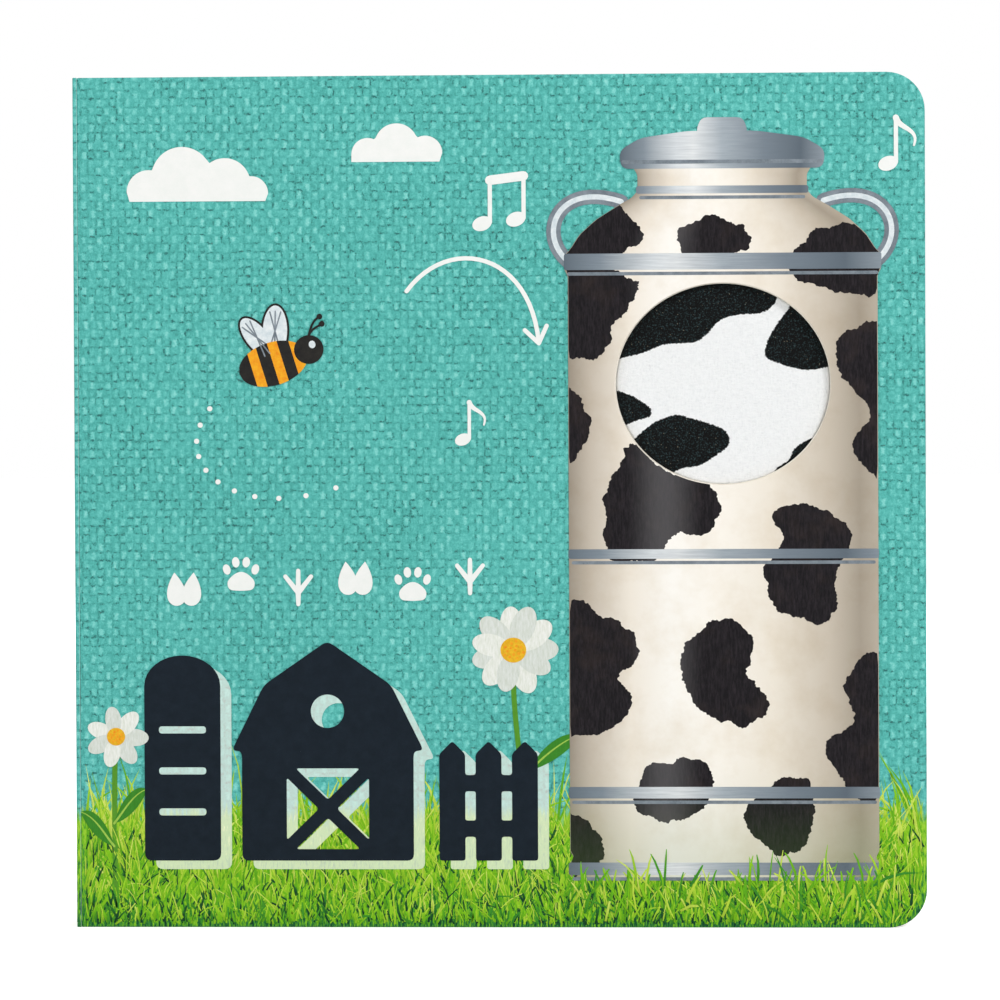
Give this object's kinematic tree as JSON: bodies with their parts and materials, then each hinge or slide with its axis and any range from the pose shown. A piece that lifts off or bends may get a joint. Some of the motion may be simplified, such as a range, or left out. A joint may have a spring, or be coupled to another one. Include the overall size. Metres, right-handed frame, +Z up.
{
  "type": "board book",
  "caption": "Square board book with rounded fore-edge corners, an oval window over a felt patch to press, and a sound module in its back cover.",
  "frame": {"origin": "middle of the foot edge, on the surface the book stands on, halfway between the front and back faces", "axes": "+Z up the page, +X from the spine to the fore edge, +Y from the front cover to the back cover, so the front cover faces -Y"},
  "size_m": [0.178, 0.0222, 0.178],
  "materials": {
    "cover_print": "satin",
    "back_print": "satin",
    "spine_print": "satin",
    "leaf_board": "satin",
    "liner_print": "satin",
    "grey_board": "matte",
    "felt": "matte",
    "foam": "matte",
    "module_plastic": "satin",
    "circuit_laminate": "gloss",
    "resin": "gloss",
    "basket_steel": "satin",
    "cone_paper": "matte",
    "magnet_metal": "satin",
    "cell_steel": "polished",
    "contact_metal": "satin",
    "screw_steel": "satin",
    "switch_film": "gloss",
    "key_plastic": "satin"
  },
  "bodies": {
    "pages": {"page_block": "leaf_board", "spine_wrap": "spine_print", "foam_pad": "foam"},
    "front_cover": {"front_cover_board": "cover_print"},
    "back_cover": {"back_liner": "liner_print", "core_frame": "grey_board", "back_cover_board": "back_print", "module_housing": "module_plastic", "module_lid": "module_plastic", "circuit_board": "circuit_laminate", "chip_blob": "resin", "speaker_frame": "basket_steel", "speaker_cone": "cone_paper", "speaker_magnet": "magnet_metal", "button_cell_1": "cell_steel", "button_cell_2": "cell_steel", "button_cell_3": "cell_steel", "cell_contacts": "contact_metal", "door_contacts": "contact_metal", "battery_door": "module_plastic", "door_screw": "screw_steel", "membrane_switch": "switch_film"},
    "patch": {"felt_patch": "felt"},
    "key": {"switch_key": "key_plastic"}
  },
  "joints": [
    {"name": "front_cover_hinge", "type": "hinge", "parent": "pages", "child": "front_cover", "pos_m": [-0.088, -0.01115, 0.089], "axis": [0, 0, -1], "range_deg": [0, 180]},
    {"name": "back_cover_hinge", "type": "hinge", "parent": "pages", "child": "back_cover", "pos_m": [-0.088, 0.01115, 0.089], "axis": [0, 0, 1], "range_deg": [0, 180]},
    {"name": "patch_press", "type": "slide", "parent": "pages", "child": "patch", "axis": [0, 1, 0], "range_m": [0, 0.0008], "stiffness_N_per_m": 1500, "deforming": ["foam_pad"]},
    {"name": "key_press", "type": "slide", "parent": "back_cover", "child": "key", "axis": [0, 1, 0], "range_m": [0, 0.0004], "stiffness_N_per_m": 400}
  ],
  "couplings": [
    {"joint": "key_press", "follows": "patch_press", "ratio": 0.5}
  ]
}
